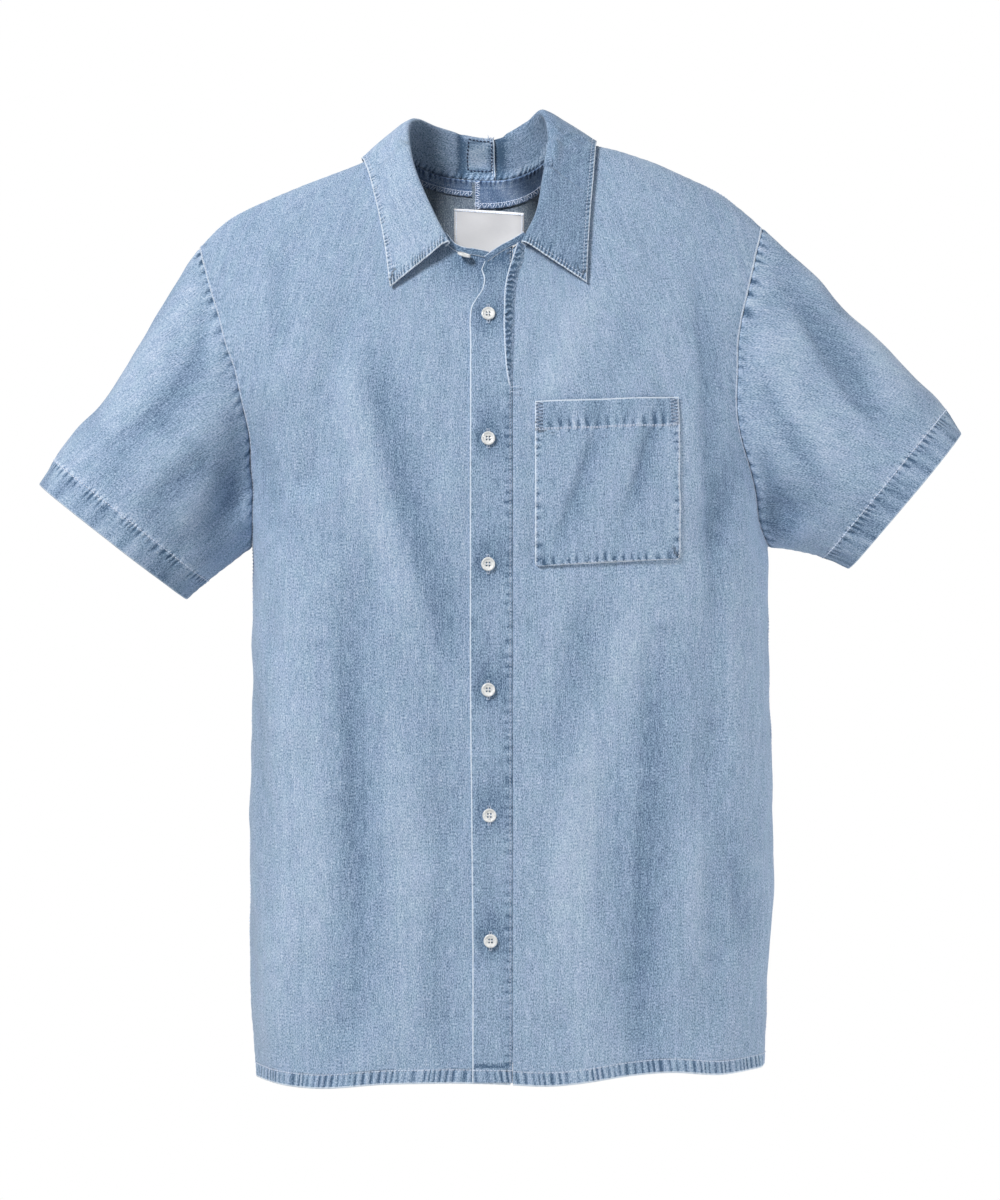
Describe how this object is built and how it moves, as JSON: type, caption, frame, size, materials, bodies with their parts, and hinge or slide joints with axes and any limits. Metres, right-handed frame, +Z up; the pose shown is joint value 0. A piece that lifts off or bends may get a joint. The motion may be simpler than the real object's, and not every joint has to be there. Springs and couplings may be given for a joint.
{
  "type": "short-sleeved denim shirt",
  "caption": "Hollow short-sleeved denim shirt with an open collar, front placket, chest pocket, straight hem and a back that laps over down its middle.",
  "frame": {"origin": "midway between the shoulders and level with their tops, where the wearer carries the shirt", "axes": "+Z up, -Y out of the shirt's front, +X to the wearer's left"},
  "size_m": [0.785, 0.2527, 0.8261],
  "materials": {
    "denim": "light washed cotton denim, matt, with paler worn edges",
    "dark_denim": "unworn side of the denim, matt",
    "woven_label": "woven satin, slight sheen, blank",
    "button_resin": "pearly polyester resin, polished"
  },
  "bodies": {
    "root": {"front_left": "denim", "front_right": "denim", "back_left": "denim", "back_right": "denim", "sleeve_left": "denim", "sleeve_right": "denim", "collar_left": "denim", "collar_right": "denim", "placket": "denim", "slit_band": "denim", "pocket": "denim", "neck_facing_left": "dark_denim", "neck_facing_right": "dark_denim", "neck_label": "woven_label", "button_1": "button_resin", "button_2": "button_resin", "button_3": "button_resin", "button_4": "button_resin", "button_5": "button_resin", "button_6": "button_resin", "collar_button": "button_resin"}
  },
  "joints": []
}
